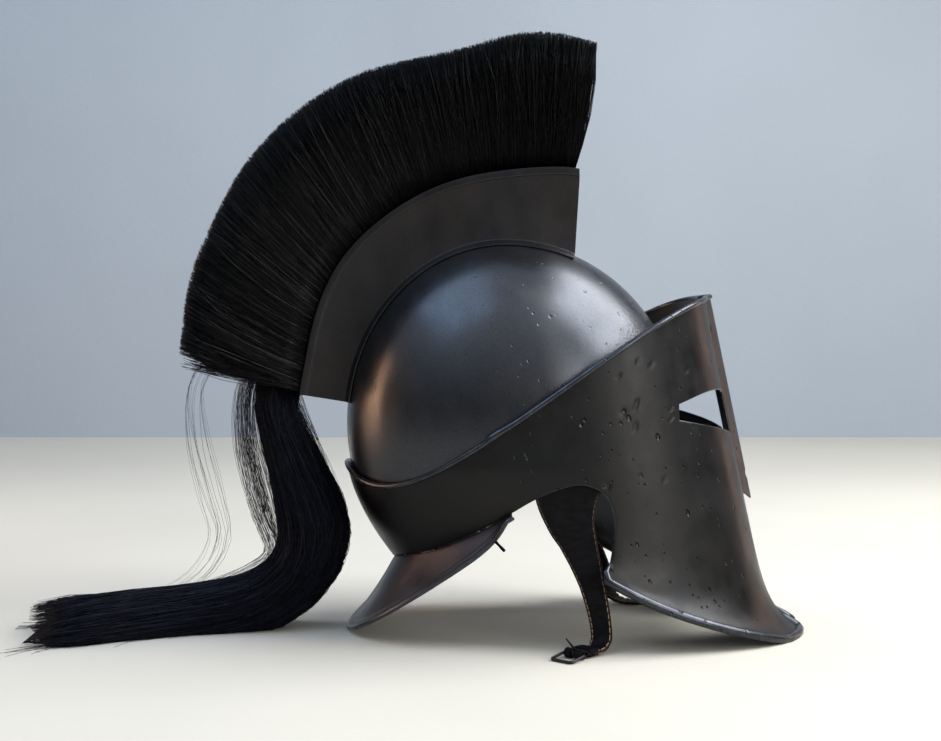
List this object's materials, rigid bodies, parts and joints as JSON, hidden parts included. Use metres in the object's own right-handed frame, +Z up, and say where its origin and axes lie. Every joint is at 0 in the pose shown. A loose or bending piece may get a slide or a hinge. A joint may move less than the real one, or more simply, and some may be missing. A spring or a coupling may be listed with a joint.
{
  "type": "crested helmet of the ancient greek kind",
  "caption": "Crested metal helmet with low arched brow, eye slots, nasal, long cheek guards, neck guard, horsehair crest and tail, and chin straps with a buckle.",
  "frame": {"origin": "middle of the whole object's box, on the floor that it rests on", "axes": "+X towards the face, +Y towards the wearer's left, +Z up"},
  "size_m": [0.5712, 0.2356, 0.4376],
  "materials": {
    "skull_steel": "satin black over steel, smooth, with a few small pits",
    "face_steel": "satin black over steel, with scattered small dents and pits and worn bright rims",
    "guard_steel": "satin black over steel, a little browner, with a bright weld line at the seam",
    "box_steel": "semi-matt black over steel, with a lighter folded border",
    "horsehair": "coarse glossy black horsehair",
    "strap_leather": "black leather with pale stitching along both edges",
    "buckle_metal": "black enamelled wire"
  },
  "bodies": {
    "helmet": {"skull": "skull_steel", "face_plate": "face_steel", "neck_guard": "guard_steel", "crest_box": "box_steel", "crest_brush": "horsehair", "plume_tail": "horsehair", "chin_strap_right": "strap_leather", "chin_strap_left": "strap_leather", "lace_end": "strap_leather", "buckle_frame": "buckle_metal"},
    "prong": {"buckle_prong": "buckle_metal"}
  },
  "joints": [
    {"name": "prong_swing", "type": "hinge", "parent": "helmet", "child": "prong", "pos_m": [0.11365, -0.10041, 0.00385], "axis": [-0.7431, 0.6691, 0], "range_deg": [-52, 85]}
  ]
}
